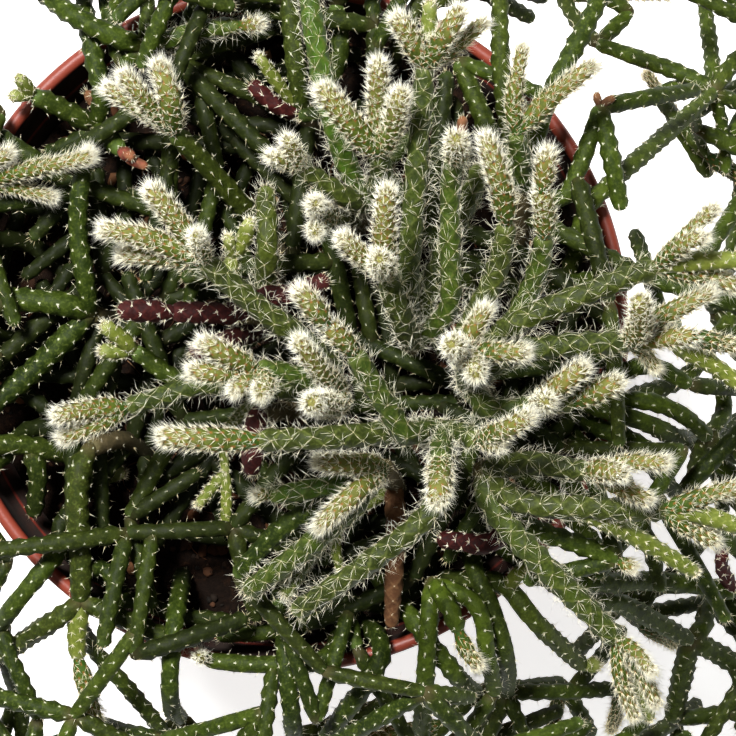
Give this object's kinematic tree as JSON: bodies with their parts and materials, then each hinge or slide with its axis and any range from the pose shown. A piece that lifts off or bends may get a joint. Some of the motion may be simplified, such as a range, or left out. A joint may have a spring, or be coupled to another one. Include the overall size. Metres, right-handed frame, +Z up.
{
  "type": "potted cactus",
  "caption": "Potted hairy-stemmed mistletoe cactus: rooted cuttings with forked bristly joints standing in soil in a round tapered pot, the outer ones hanging over the rim.",
  "frame": {"origin": "centre of the pot's underside, on the plane it stands on", "axes": "+Z up along the pot's axis; +Y towards the top of the picture and +X towards its right"},
  "size_m": [0.2321, 0.2203, 0.1918],
  "materials": {
    "pot": "matt terracotta-coloured",
    "soil": "damp dark potting mix",
    "stems": "waxy green skin under pale bristles"
  },
  "bodies": {
    "root": {"pot": "pot", "soil": "soil", "cutting_01": "stems", "cutting_02": "stems", "cutting_03": "stems", "cutting_04": "stems", "cutting_05": "stems", "cutting_06": "stems", "cutting_07": "stems", "cutting_08": "stems", "cutting_09": "stems", "cutting_10": "stems", "cutting_11": "stems", "cutting_12": "stems", "cutting_13": "stems", "cutting_14": "stems", "cutting_15": "stems", "cutting_16": "stems", "cutting_17": "stems", "cutting_18": "stems", "cutting_19": "stems", "cutting_20": "stems", "cutting_21": "stems", "cutting_22": "stems", "cutting_23": "stems"}
  },
  "joints": []
}
